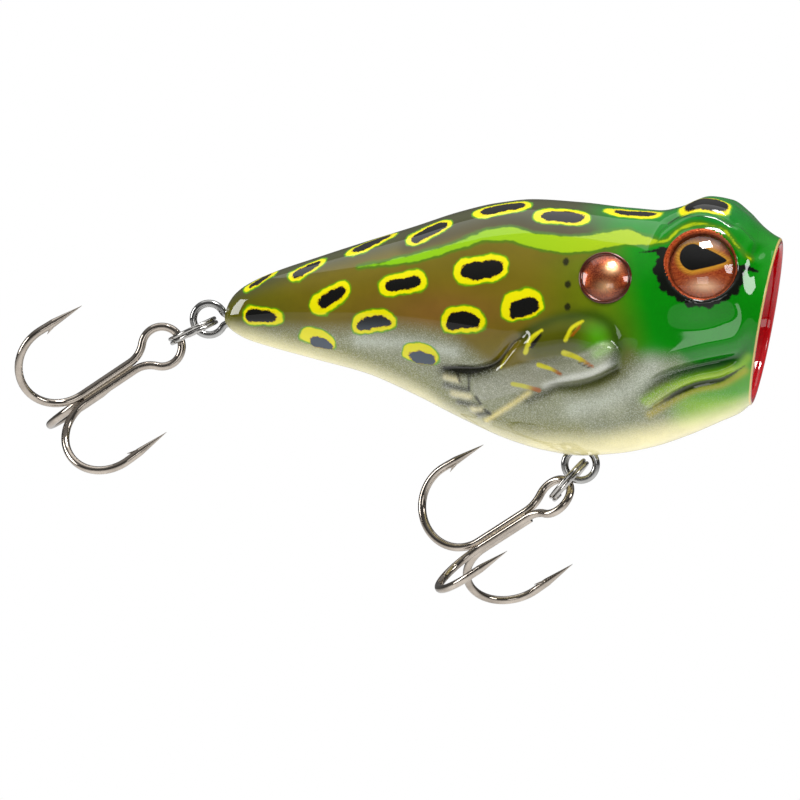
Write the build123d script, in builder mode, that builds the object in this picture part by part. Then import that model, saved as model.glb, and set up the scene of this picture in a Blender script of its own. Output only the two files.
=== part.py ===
from build123d import *
from math import cos, radians, sin, sqrt
import os

os.makedirs("parts", exist_ok=True)

# Topwater popper: +X is forward (mouth), +Y is left, +Z is up.
# The origin is the middle of the line tie's eye, in the mouth cup. All sizes in millimetres.

# ---- body ----
tie_ahead = 54.3          # line tie's eye, ahead of the tail tip
tie_above = 0.3           # line tie's eye, above the tail's datum line
wall = 1.4
# Stations: distance from the tail tip, top, bottom, half width, height of the widest line
stations = [
    (0.0, 1.6, -0.5, 0.95, 0.6),
    (2.4, 4.3, -1.6, 2.2, 1.1),
    (7.5, 6.4, -3.0, 3.7, 1.6),
    (15.3, 9.0, -5.2, 5.7, 1.7),
    (23.0, 11.5, -8.7, 7.5, 1.2),
    (30.8, 13.3, -12.3, 8.8, 0.3),
    (38.5, 13.4, -14.0, 9.5, -0.5),
    (46.2, 12.9, -13.0, 9.6, -0.2),
    (53.0, 13.4, -10.5, 9.2, 0.8),
    (57.6, 11.2, -8.7, 8.5, 0.9),
    (62.0, 8.6, -7.6, 7.8, 0.6),
]
cavity_stations = range(3, 8)

# ---- mouth ----
mouth_ahead = 58.5        # middle of the mouth's rim, from the tail tip
mouth_above = 0.4
mouth_rake = 10.2         # the upper lip stands forward of the lower one
cup_radius = 7.3
cup_depth = 5.4

# ---- moulded inside ----
rib_thickness = 1.2
past_sides, past_top = 30, 40
weight_ribs = (16.6, 21.2)
weight_radius = 2.6
weight_length = 7.6
weight_ahead = 18.9
weight_height = 1.6
ball_radius = 2.0
chamber_radius = 2.2
chamber_wall = 0.9
chamber_half = 6.0
chambers = {"front": (39.5, 5.0), "rear": (31.5, 5.0)}
hanger_block = (9.0, 6.0, 5.4)
pin_radius = 0.8
pin_length = 1.6
pin_boss_radius = 1.7
pin_places = ((10.6, 4.6), (26.5, 8.0), (45.0, -9.0), (50.0, 9.6))
fit_gap = 0.02

# ---- eyes and ear discs ----
eye_ahead, eye_height, eye_out = 52.3, 6.6, 8.1
eye_up, eye_forward = 17.0, 7.0
eye_radius = 4.2
iris_radius = 3.5
eye_seat = 1.2
rim_height = 1.75
iris_height = 0.7
rim_round = 0.35
lens_height = 1.9
ear_ahead, ear_height, ear_out = 41.9, 5.2, 8.65
ear_up, ear_forward = 17.0, 0.0
ear_radius = 2.8
ear_seat = 0.7
ear_height_total = 1.5
pocket_reach = 8

# ---- wire hangers ----
hanger_wire = 0.8
loop_radius = 1.7
neck_radius = 0.8
neck_half = 0.46
foot_length = 1.2

# Loop centres, from the tail tip and above the datum, and the length of the legs in the plastic
tail_loop = (-1.75, 0.55)
belly_loop = (38.4, -14.9)
tail_leg, belly_leg, tie_leg = 7.6, 1.6, 2.6

# ---- split rings ----
ring_radius = 2.62
coil_wire = 0.44
coil_pitch = 0.46
coil_jog = 30.0
coil_start = 55.0
# Where the ring passes through its loop (from the loop's centre) and how far it drops backward
tail_ring_place = ((0.65, -0.12), 25.8)
belly_ring_place = ((0.5, 0.28), 48.4)

# ---- treble hooks ----
hook_wire = 0.88
hook_eye_radius = 2.15
hook_neck_radius = 3.0
shank_half = 0.46
bend_centre = 10.1
bend_radius = 4.6
spear_lean = -3.0         # negative: the point turns in towards the shank
spear_length = 1.6
point_length = 3.6
sharp = 0.02
barb_length = 1.35
barb_lift = 28.0
barb_radius = 0.26
barb_inset = 0.15
single_top = 3.8
braze_radius = 0.55
# Eye centre from the loop's centre, then the shank's drop, its sideways swing and its own turn
tail_treble_place = ((-5.12, 0.19, -3.0), 34.0, -6.5, 178.3)
belly_treble_place = ((-2.8, 1.1, -3.66), 32.6, 13.0, 133.0)


def along(ahead, height, side=0.0):
    """A point given from the tail tip and the tail's datum line, in the part's own frame."""
    return (ahead - tie_ahead, side, height - tie_above)


def section_plane(ahead):
    return Plane(origin=along(ahead, tie_above), x_dir=(0, 1, 0), z_dir=(1, 0, 0))


def egg(top, bottom, half_width, waist):
    """Outline of an egg-shaped section: two half ellipses that meet at the widest line."""
    with BuildLine() as outline:
        EllipticalCenterArc((0, waist - tie_above), half_width, top - waist, start_angle=0, arc_size=180)
        EllipticalCenterArc((0, waist - tie_above), half_width, waist - bottom, start_angle=180, arc_size=180)
    return outline.edges()


def side_plane(side, place, lean, out):
    """Plane on the body's flank: its z axis points outward, leaning up and forward."""
    up, forward = radians(lean[0]), radians(lean[1])
    outward = (sin(forward) * cos(up), side * cos(forward) * cos(up), sin(up))
    return Plane(origin=along(place[0], place[1], side * out), x_dir=(1, 0, 0), z_dir=outward)


# ---- body: one hollow form, then two halves ----
with BuildPart() as outer:
    for ahead, top, bottom, half_width, waist in stations:
        with BuildSketch(section_plane(ahead)):
            make_face(egg(top, bottom, half_width, waist))
    loft()

with BuildPart() as cavity:
    for number in cavity_stations:
        ahead, top, bottom, half_width, waist = stations[number]
        with BuildSketch(section_plane(ahead)):
            make_face(egg(top - wall, bottom + wall, half_width - wall, waist))
    loft()
    for ahead in weight_ribs:
        with Locations(along(ahead, 0)):
            Box(rib_thickness, past_sides, past_top, mode=Mode.SUBTRACT)
    with Locations(along(stations[6][0], stations[6][2] + hanger_block[2] / 2)):
        Box(*hanger_block, mode=Mode.SUBTRACT)
    with Locations([along(ahead, height) for ahead, height in pin_places]):
        Cylinder(pin_boss_radius, past_sides, rotation=(90, 0, 0), mode=Mode.SUBTRACT)
    with Locations([along(ahead, height) for ahead, height in chambers.values()]):
        Cylinder(chamber_radius + chamber_wall, past_sides, rotation=(90, 0, 0), mode=Mode.SUBTRACT)
    with Locations([along(ahead, height) for ahead, height in chambers.values()]):
        Cylinder(chamber_radius, 2 * chamber_half, rotation=(90, 0, 0))
    with Locations(along(weight_ahead, weight_height)):
        Cylinder(weight_radius + fit_gap, weight_length, rotation=(0, 90, 0))

rake = radians(mouth_rake)
mouth_plane = Plane(
    origin=along(mouth_ahead, mouth_above), x_dir=(0, 1, 0), z_dir=(cos(rake), 0, -sin(rake))
)
cup_plane = Plane(origin=mouth_plane.origin, x_dir=mouth_plane.z_dir, z_dir=mouth_plane.y_dir)
with BuildPart() as mouth_cup:
    with BuildSketch(cup_plane):
        with BuildLine():
            EllipticalCenterArc((0, 0), cup_depth, cup_radius, start_angle=0, arc_size=180)
            Line((-cup_depth, 0), (cup_depth, 0))
        make_face()
    revolve(axis=Axis(cup_plane.origin, cup_plane.x_dir))


def wire_solid(run, diameter):
    """Round wire along a path."""
    with BuildPart() as solid:
        with BuildSketch(Plane(origin=run @ 0, z_dir=run % 0)):
            Circle(diameter / 2)
        sweep(path=run)
    return solid.part


def neck(loop, bend, half):
    """Where a wire leaves its loop, the middle of the bend that follows, and the straight leg's start."""
    centre = Vector(half + bend, sqrt((loop + bend) ** 2 - (half + bend) ** 2))
    touch = centre * (loop / (loop + bend))
    leg = Vector(half, centre.Y)
    middle = centre + ((touch + leg) / 2 - centre).normalized() * bend
    return touch, middle, leg


def hanger(plane, leg_length):
    """Eye of bent wire: loop at the plane's origin, two legs along +y and feet that turn outward."""
    touch, middle, leg = neck(loop_radius, neck_radius, neck_half)
    top = leg.Y + leg_length
    half = neck_radius * sqrt(0.5)
    with BuildLine(plane) as path:
        for turn in (1, -1):
            foot_x, foot_y = turn * (neck_half + neck_radius), top + neck_radius
            Line((foot_x + turn * foot_length, foot_y), (foot_x, foot_y))
            ThreePointArc((foot_x, foot_y), (foot_x - turn * half, top + half), (turn * neck_half, top))
            Line((turn * neck_half, top), (turn * leg.X, leg.Y))
            ThreePointArc((turn * leg.X, leg.Y), (turn * middle.X, middle.Y), (turn * touch.X, touch.Y))
        ThreePointArc((touch.X, touch.Y), (0, -loop_radius), (-touch.X, touch.Y))
    return wire_solid(path.wires()[0], hanger_wire)


def split_ring(plane):
    """Two flat turns of spring wire beside each other, joined by a short sloping step."""
    pieces, ends = [], []
    for level, end in ((-coil_pitch / 2, 1), (coil_pitch / 2, 0)):
        with BuildLine(plane.offset(level)) as turn:
            CenterArc((0, 0), ring_radius, coil_start + coil_jog / 2, 360 - coil_jog)
        pieces.append(wire_solid(turn.wires()[0], coil_wire))
        ends.append(turn.line @ end)
    with BuildLine() as step:
        Line(*ends)
    pieces.append(wire_solid(step.wires()[0], coil_wire))
    with BuildPart() as ring:
        add(pieces)
        with Locations(ends):
            Sphere(coil_wire / 2)
    return ring.part


def arm(plane, leg, azimuth):
    """One hook of a treble: its path's points from the shank, round the bend, to the spear's end."""
    out = Vector(cos(radians(azimuth)), sin(radians(azimuth)), 0)
    lean = radians(spear_lean)

    def at(reach, height):
        return plane.from_local_coords(Vector(leg[0], leg[1], height) + out * reach)

    bend_end = (bend_radius * (1 + cos(lean)), -bend_centre - bend_radius * sin(lean))
    spear_end = (bend_end[0] + spear_length * sin(lean), bend_end[1] + spear_length * cos(lean))
    return [at(0, -bend_centre), at(bend_radius, -bend_centre - bend_radius), at(*bend_end), at(*spear_end)]


def point_and_barb(points):
    """Ground point on the spear's end, and the barb raised on its inner side."""
    spear = (points[3] - points[2]).normalized()
    inward = (points[0] - points[2]).normalized()
    lift = radians(barb_lift)
    tip_plane = Plane(origin=points[3], z_dir=spear)
    barb_root = points[3] + inward * barb_inset
    barb_plane = Plane(origin=barb_root, z_dir=inward * sin(lift) - spear * cos(lift))
    from_base = (Align.CENTER, Align.CENTER, Align.MIN)
    with BuildPart(tip_plane) as tip:
        Cone(hook_wire / 2, sharp, point_length, align=from_base)
    with BuildPart(barb_plane) as barb:
        Cone(barb_radius, sharp, barb_length, align=from_base)
    return [tip.part, barb.part]


def double_hook(plane):
    """One wire: two hooks, their shanks side by side, and the eye that joins them."""
    touch, middle, leg = neck(hook_eye_radius, hook_neck_radius, shank_half)
    depth = shank_half / sqrt(3)
    pieces = []
    with BuildLine() as path:
        for turn in (1, -1):
            points = arm(plane, (turn * shank_half, depth), 90 - turn * 60)
            leg_top = plane.from_local_coords((turn * leg.X, depth, -leg.Y))
            Line(points[3], points[2])
            ThreePointArc(points[2], points[1], points[0])
            Line(points[0], leg_top)
            ThreePointArc(
                leg_top,
                plane.from_local_coords((turn * middle.X, depth, -middle.Y)),
                plane.from_local_coords((turn * touch.X, depth, -touch.Y)),
            )
            pieces.extend(point_and_barb(points))
        ThreePointArc(
            plane.from_local_coords((touch.X, depth, -touch.Y)),
            plane.from_local_coords((0, depth, hook_eye_radius)),
            plane.from_local_coords((-touch.X, depth, -touch.Y)),
        )
    pieces.append(wire_solid(path.wires()[0], hook_wire))
    return fused(pieces)


def single_hook(plane):
    """The third hook, whose shank lies in the groove between the other two."""
    depth = -2 * shank_half / sqrt(3)
    points = arm(plane, (0, depth), -90)
    with BuildLine() as path:
        Line(points[3], points[2])
        ThreePointArc(points[2], points[1], points[0])
        Line(points[0], plane.from_local_coords((0, depth, -single_top)))
    return fused(point_and_barb(points) + [wire_solid(path.wires()[0], hook_wire)])


def braze(plane):
    """Silver braze that fills the groove along the three shanks."""
    length = bend_centre - single_top
    with BuildPart(plane.offset(-single_top - length / 2)) as fill:
        Cylinder(braze_radius, length)
    return fill.part


def fused(pieces):
    with BuildPart() as whole:
        add(pieces)
    return whole.part


def treble_plane(loop, place):
    """Plane at a treble's eye: z runs up the shank, x and z hold the eye's loop."""
    eye, drop, aside, turn = place
    drop, aside, turn = radians(drop), radians(aside), radians(turn)
    up = Vector(cos(drop) * cos(aside), -sin(aside), sin(drop) * cos(aside))
    across = Vector(0, 1, 0).cross(up).normalized()
    x_dir = across * cos(turn) + up.cross(across) * sin(turn)
    return Plane(origin=Vector(*along(*loop)) + Vector(*eye), x_dir=x_dir, z_dir=up)


def ring_plane(loop, place):
    """Plane of a split ring: it passes through its loop and drops backward."""
    (near_x, near_z), drop = place
    down = Vector(-cos(radians(drop)), 0, -sin(radians(drop)))
    near = Vector(*along(*loop)) + Vector(near_x, 0, near_z)
    return Plane(origin=near + down * ring_radius, x_dir=down, z_dir=down.cross(Vector(0, 1, 0)))


def finished(piece, name):
    piece.label = name
    export_step(piece, f"parts/{name}.step")
    print(f"{name:24s} solids {len(piece.solids())}  volume {piece.volume:9.2f}  valid {piece.is_valid}")


# ---- wires, rings and trebles ----
tail_wire = hanger(Plane(origin=along(*tail_loop), x_dir=(0, 0, 1), z_dir=(0, 1, 0)), tail_leg)
belly_wire = hanger(Plane(origin=along(*belly_loop), x_dir=(1, 0, 0), z_dir=(0, -1, 0)), belly_leg)
tie_wire = hanger(Plane(origin=(0, 0, 0), x_dir=(0, 0, 1), z_dir=(0, -1, 0)), tie_leg)
finished(tail_wire, "tail_hanger_wire")
finished(belly_wire, "belly_hanger_wire")
finished(tie_wire, "line_tie_wire")

for name, loop, ring_place, treble_place in (
    ("tail", tail_loop, tail_ring_place, tail_treble_place),
    ("belly", belly_loop, belly_ring_place, belly_treble_place),
):
    plane = treble_plane(loop, treble_place)
    finished(split_ring(ring_plane(loop, ring_place)), f"{name}_split_ring")
    finished(double_hook(plane), f"{name}_treble_double_hook")
    finished(single_hook(plane), f"{name}_treble_single_hook")
    finished(braze(plane), f"{name}_treble_braze")

# ---- body halves, parted at the middle plane ----
with BuildPart() as body:
    add(outer.part)
    split(bisect_by=mouth_plane, keep=Keep.BOTTOM)
    add(cavity.part, mode=Mode.SUBTRACT)
    add(mouth_cup.part, mode=Mode.SUBTRACT)
    for wire in (tail_wire, belly_wire, tie_wire):
        add(wire, mode=Mode.SUBTRACT)

eye_planes = {
    side: side_plane(turn, (eye_ahead, eye_height), (eye_up, eye_forward), eye_out).offset(-eye_seat)
    for side, turn in (("right", -1), ("left", 1))
}
ear_planes = {
    side: side_plane(turn, (ear_ahead, ear_height), (ear_up, ear_forward), ear_out).offset(-ear_seat)
    for side, turn in (("right", -1), ("left", 1))
}
pins = [along(ahead, height) for ahead, height in pin_places]
for side, keep in (("right", Keep.TOP), ("left", Keep.BOTTOM)):
    with BuildPart() as shell:
        add(body.part)
        split(bisect_by=Plane.XZ, keep=keep)
        with BuildSketch(eye_planes[side]):
            Circle(eye_radius + fit_gap)
        extrude(amount=pocket_reach, mode=Mode.SUBTRACT)
        with BuildSketch(ear_planes[side]):
            Circle(ear_radius + fit_gap)
        extrude(amount=pocket_reach, mode=Mode.SUBTRACT)
        with Locations(pins):
            if side == "right":
                Cylinder(pin_radius, 2 * pin_length, rotation=(90, 0, 0))
            else:
                Cylinder(
                    pin_radius + fit_gap, 2 * (pin_length + fit_gap), rotation=(90, 0, 0), mode=Mode.SUBTRACT
                )
    finished(shell.part, f"body_shell_{side}")

# ---- eyes and ear discs ----
lens_rise = lens_height - iris_height
lens_sphere = ((iris_radius - fit_gap) ** 2 + lens_rise**2) / (2 * lens_rise)
ear_rise = ear_height_total - ear_seat
ear_sphere = (ear_radius**2 + ear_rise**2) / (2 * ear_rise)
for side, plane in eye_planes.items():
    with BuildPart() as eye_disc:
        with BuildSketch(plane):
            Circle(eye_radius)
        extrude(amount=rim_height)
        fillet(eye_disc.faces().sort_by(Axis(plane.origin, plane.z_dir))[-1].edges(), rim_round)
        with BuildSketch(plane.offset(iris_height)):
            Circle(iris_radius)
        extrude(amount=rim_height, mode=Mode.SUBTRACT)
    finished(eye_disc.part, f"eye_disc_{side}")
    with BuildPart(plane.offset(lens_height - lens_sphere)) as lens:
        Sphere(lens_sphere)
        split(bisect_by=plane.offset(iris_height), keep=Keep.TOP)
    finished(lens.part, f"eye_lens_{side}")
for side, plane in ear_planes.items():
    with BuildPart(plane.offset(ear_height_total - ear_sphere)) as ear:
        Sphere(ear_sphere)
        split(bisect_by=plane.offset(ear_seat), keep=Keep.TOP)
        with BuildSketch(plane):
            Circle(ear_radius)
        extrude(amount=ear_seat)
    finished(ear.part, f"ear_disc_{side}")

# ---- weight and rattles ----
with BuildPart() as weight:
    with Locations(along(weight_ahead, weight_height)):
        Cylinder(weight_radius, weight_length, rotation=(0, 90, 0))
finished(weight.part, "casting_weight")
for name, place in chambers.items():
    with BuildPart() as ball:
        with Locations(along(*place)):
            Sphere(ball_radius)
    finished(ball.part, f"rattle_ball_{name}")
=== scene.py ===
import math

import bmesh
import bpy
import numpy as np
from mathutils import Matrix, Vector


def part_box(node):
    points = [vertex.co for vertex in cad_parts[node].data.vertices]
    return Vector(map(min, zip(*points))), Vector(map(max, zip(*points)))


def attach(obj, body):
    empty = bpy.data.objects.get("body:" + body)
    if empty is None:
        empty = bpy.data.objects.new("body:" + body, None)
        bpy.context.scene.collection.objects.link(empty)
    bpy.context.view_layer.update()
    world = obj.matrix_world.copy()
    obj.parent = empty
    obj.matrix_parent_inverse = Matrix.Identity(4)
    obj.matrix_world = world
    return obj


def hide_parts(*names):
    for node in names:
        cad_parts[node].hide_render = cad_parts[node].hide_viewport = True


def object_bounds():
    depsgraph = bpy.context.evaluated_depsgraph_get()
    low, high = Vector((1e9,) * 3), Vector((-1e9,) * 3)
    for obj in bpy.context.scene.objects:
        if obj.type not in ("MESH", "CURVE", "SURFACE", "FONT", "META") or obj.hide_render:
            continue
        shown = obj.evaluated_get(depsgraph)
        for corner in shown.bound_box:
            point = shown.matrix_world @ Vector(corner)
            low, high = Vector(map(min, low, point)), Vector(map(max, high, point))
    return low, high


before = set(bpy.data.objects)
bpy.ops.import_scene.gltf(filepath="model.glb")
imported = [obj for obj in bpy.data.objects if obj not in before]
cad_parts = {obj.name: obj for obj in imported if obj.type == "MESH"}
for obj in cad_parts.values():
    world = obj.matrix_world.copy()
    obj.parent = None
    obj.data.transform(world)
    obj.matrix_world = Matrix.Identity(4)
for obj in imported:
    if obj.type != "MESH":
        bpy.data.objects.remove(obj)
cad_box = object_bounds()

# Shapes are worked out in millimetres from the tail tip (s, ahead) and the tail's datum line
# (h, up), and written to the meshes in metres in the CAD frame.
MM = 0.001
TAIL_LOOP_ABOVE_DATUM = 0.55
tail_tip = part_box("body_shell_right")[0][0]
tail_low, tail_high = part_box("tail_hanger_wire")
ORIGIN = np.array([tail_tip, 0.0, (tail_low[2] + tail_high[2]) / 2 - TAIL_LOOP_ABOVE_DATUM * MM])
FAR = 9.0  # a distance well off every painted edge


# ---------------------------------------------------------------- small helpers
def rgb(r, g, b):
    """Display colour, 0 to 255, as a linear one."""
    c = np.array([r, g, b], float) / 255
    return np.where(c <= 0.04045, c / 12.92, ((c + 0.055) / 1.055) ** 2.4)


def smooth(x, low, high):
    """Soft step from 0 at low to 1 at high."""
    t = np.clip((x - low) / (high - low), 0, 1)
    return t * t * (3 - 2 * t)


def through(points, x):
    """Smooth curve through points (x, y) without overshoot (monotone cubic)."""
    p = np.array(points, float)
    px, py = p[:, 0], p[:, 1]
    step = np.diff(px)
    slope = np.diff(py) / step
    tangent = np.zeros(len(px))
    same = slope[:-1] * slope[1:] > 0
    harmonic = 2 * slope[:-1] * slope[1:] / np.where(same, slope[:-1] + slope[1:], 1)
    tangent[1:-1] = np.where(same, harmonic, 0)
    tangent[0], tangent[-1] = slope[0], slope[-1]
    x = np.clip(x, px[0], px[-1])
    k = np.clip(np.searchsorted(px, x) - 1, 0, len(step) - 1)
    t = (x - px[k]) / step[k]
    return (
        (1 + 2 * t) * (1 - t) ** 2 * py[k]
        + t * (1 - t) ** 2 * step[k] * tangent[k]
        + t * t * (3 - 2 * t) * py[k + 1]
        + t * t * (t - 1) * step[k] * tangent[k + 1]
    )


def bell(distance, width):
    """1 on a line, falling off smoothly within about the width."""
    return np.exp(-((distance / width) ** 2))


SPOT_SQUARENESS = 2.5


def spot_distance(u, v, long, high, pinch, bend):
    """Signed distance to a rounded spot, waisted by pinch and arched by bend, near enough at its edge."""
    v = v - bend * high * (0.5 - (u / long) ** 2)
    v = v / (1 - pinch * bell(u, 0.45 * long))
    power = SPOT_SQUARENESS
    a, b = np.abs(u / long) + 1e-6, np.abs(v / high) + 1e-6
    size = (a**power + b**power) ** (1 / power)
    steep = size ** (1 - power) * np.hypot(a ** (power - 1) / long, b ** (power - 1) / high)
    return (size - 1) / steep


def line_distance(u, v, points):
    """Distance to a run of straight stretches, and how far along it (0 to 1) the nearest point is."""
    best = np.full(u.shape, 1e9)
    place = np.zeros(u.shape)
    p = np.array(points, float)
    lengths = np.linalg.norm(np.diff(p, axis=0), axis=1)
    total, walked = lengths.sum(), 0.0
    for k in range(len(p) - 1):
        d = p[k + 1] - p[k]
        t = np.clip(((u - p[k, 0]) * d[0] + (v - p[k, 1]) * d[1]) / (d @ d), 0, 1)
        dist = np.hypot(u - p[k, 0] - t * d[0], v - p[k, 1] - t * d[1])
        near = dist < best
        best = np.where(near, dist, best)
        place = np.where(near, (walked + t * lengths[k]) / total, place)
        walked += lengths[k]
    return best, place


def softened(points, count=24):
    """A run of points with its corners rounded, as a curve of count points."""
    p = np.array(points, float)
    walked = np.concatenate([[0], np.cumsum(np.linalg.norm(np.diff(p, axis=0), axis=1))])
    at = np.linspace(0, walked[-1], count)
    return np.stack([through(np.stack([walked, p[:, k]], 1), at) for k in range(p.shape[1])], 1)


def to_metres(grid, turn):
    """A grid in s, y, h as points in the CAD frame; turn is 1 for the left side and -1 for the right."""
    return (ORIGIN + grid * MM * np.array([1, turn, 1])).reshape(-1, 3)


def make_object(name, points, faces, fields, colours=()):
    """Mesh object with a number attribute for each field and a colour attribute for each colour."""
    mesh = bpy.data.meshes.new(name)
    mesh.from_pydata(points.tolist(), [], faces)
    for key, values in fields.items():
        data = mesh.attributes.new(key, "FLOAT", "POINT").data
        data.foreach_set("value", np.ascontiguousarray(values, np.float32).ravel())
    for key, colour in dict(colours).items():
        tint = np.concatenate([colour.reshape(-1, 3), np.ones((len(points), 1))], 1)
        data = mesh.attributes.new(key, "FLOAT_COLOR", "POINT").data
        data.foreach_set("color", tint.astype(np.float32).ravel())
    obj = bpy.data.objects.new(name, mesh)
    bpy.context.scene.collection.objects.link(obj)
    return obj


# ---------------------------------------------------------------- the body's form
# Height of the top and the bottom line, half width, and height of the widest line, each against s
TOP = [
    (0, 1.2), (0.35, 2.2), (1.1, 3.3), (2.4, 4.3), (4.9, 5.5), (10.1, 7.3), (15.3, 9.0), (20.4, 10.6),
    (25.6, 12.3), (29.5, 13.2), (33.3, 13.6), (38.5, 13.3), (43.7, 12.75), (46.8, 12.6), (49.4, 13.2),
    (52.2, 14.2), (54.6, 13.9), (56.6, 12.5), (58.2, 10.7), (59.6, 9.7), (61.5, 8.9),
]
BOTTOM = [
    (0, 0.2), (0.35, -0.3), (1.1, -0.9), (2.4, -1.6), (4.9, -2.4), (10.1, -3.8), (15.3, -5.2),
    (20.4, -7.4), (25.6, -10.0), (30.8, -12.3), (34.6, -13.4), (38.5, -13.95), (42.4, -13.7),
    (46.2, -13.0), (50.1, -11.7), (53.6, -10.2), (55.6, -9.3), (57.3, -8.0), (61.5, -6.9),
]
HALF_WIDTH = [
    (0, 0.5), (0.35, 1.0), (1.1, 1.55), (2.4, 2.2), (7.5, 3.75), (15.3, 5.75), (23, 7.55), (30.8, 8.85),
    (38.5, 9.5), (46.2, 9.6), (53, 9.2), (57.6, 8.5), (61.5, 7.7),
]
WAIST = [
    (0, 0.75), (2.4, 1.1), (7.5, 1.6), (15.3, 1.7), (23, 1.2), (30.8, 0.3), (38.5, -0.5), (46.2, -0.2),
    (53, 0.8), (57.6, 0.9), (61.5, 0.6),
]
MOUTH_AHEAD, MOUTH_ABOVE, MOUTH_RAKE = 58.2, 0.4, math.radians(10.2)
LIP_THICKNESS = 0.95
LIP_ROUND = 0.3
CUP_DEPTH = 5.3
CUP_FLATNESS = 0.9
ROWS_BODY, ROWS_LIP, ROWS_CUP, COLUMNS = 330, 10, 44, 176
ROW_CROWDING = 1.25  # above 1, the rows crowd towards the tail's tip
RAKE_FROM = 0.55  # share of the length past which the rows lean over to the mouth's rake
RIM_STEPS = 6


def section(s, angle):
    """Point (y, h) of the smooth body: angle runs from -90 degrees under it to 90 on top."""
    top, bottom, wide, waist = (through(c, s) for c in (TOP, BOTTOM, HALF_WIDTH, WAIST))
    reach = np.where(angle > 0, top - waist, waist - bottom)
    return wide * np.cos(angle), waist + reach * np.sin(angle)


def half_width_at(s, h):
    """Half width of the smooth body at a place along it and a height."""
    top, bottom, wide, waist = (through(c, s) for c in (TOP, BOTTOM, HALF_WIDTH, WAIST))
    reach = np.where(h > waist, top - waist, waist - bottom)
    return wide * np.sqrt(np.clip(1 - ((h - waist) / reach) ** 2, 0, 1))


def half_form():
    """Grid (rows, columns, 3) of one half in s, y, h: tail tip to lip, over the lip and down the cup."""
    angle = np.linspace(-math.pi / 2, math.pi / 2, COLUMNS)
    t = np.linspace(0, 1, ROWS_BODY) ** ROW_CROWDING
    rim = np.full(COLUMNS, MOUTH_AHEAD)
    for _ in range(RIM_STEPS):
        _, h = section(rim, angle)
        rim = MOUTH_AHEAD + (h - MOUTH_ABOVE) * math.tan(MOUTH_RAKE)
    s = MOUTH_AHEAD * t[:, None] + smooth(t, RAKE_FROM, 1.0)[:, None] * (rim - MOUTH_AHEAD)[None, :]
    y, h = section(s, np.broadcast_to(angle, s.shape))
    body = np.stack([s, y, h], 2)
    forward = np.array([math.cos(MOUTH_RAKE), 0, -math.sin(MOUTH_RAKE)])
    centre = np.array([MOUTH_AHEAD, 0, MOUTH_ABOVE])
    edge = body[-1]
    spoke = edge - centre
    length = np.linalg.norm(spoke, axis=1, keepdims=True)
    inner = centre + spoke * (1 - LIP_THICKNESS / length)
    lip = []
    for k in range(1, ROWS_LIP + 1):
        turn = math.pi * k / ROWS_LIP
        mix = (1 - math.cos(turn)) / 2
        lip.append(edge * (1 - mix) + inner * mix + forward * LIP_ROUND * math.sin(turn))
    cup = []
    for k in range(1, ROWS_CUP + 1):
        turn = math.pi / 2 * k / ROWS_CUP
        deep = CUP_DEPTH * math.sin(turn) ** CUP_FLATNESS
        cup.append(centre + (inner - centre) * math.cos(turn) - forward * deep)
    return np.concatenate([body, np.array(lip), np.array(cup)])


def grid_normals(grid):
    """Outward directions of the form, kept in the parting plane along its two edges."""
    along = np.gradient(grid, axis=0)
    across = np.gradient(grid, axis=1)
    n = np.cross(across, along)
    n[:, [0, -1], 1] = 0
    return n / (np.linalg.norm(n, axis=2, keepdims=True) + 1e-12)


# ---------------------------------------------------------------- where things are on the flank
def disc_place(node, thickness, up, forward):
    """Centre of a disc's seat in s, y, h and its outward direction, for the +Y side."""
    low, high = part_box(node)
    centre = (np.array(low) + np.array(high)) / 2 - ORIGIN
    up, forward = math.radians(up), math.radians(forward)
    out = np.array([math.sin(forward) * math.cos(up), math.cos(forward) * math.cos(up), math.sin(up)])
    return centre / MM - out * thickness / 2, out


EYE_THICKNESS, EYE_RADIUS, IRIS_RADIUS = 1.75, 4.2, 3.5
EAR_THICKNESS, EAR_RADIUS, EAR_SEAT_RADIUS = 1.5, 2.88, 2.8
FACING_UP, EYE_FACING_AHEAD = 17.0, 7.0  # degrees
EYE_CENTRE, EYE_OUT = disc_place("eye_disc_left", EYE_THICKNESS, FACING_UP, EYE_FACING_AHEAD)
EAR_CENTRE, EAR_OUT = disc_place("ear_disc_left", EAR_THICKNESS, FACING_UP, 0.0)
# The discs sit slightly further in and up than their CAD seats
EYE_CENTRE = EYE_CENTRE + np.array([0.0, -0.06, 0.2])
EAR_CENTRE = EAR_CENTRE + np.array([0.0, -0.1, 0.35])

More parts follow.
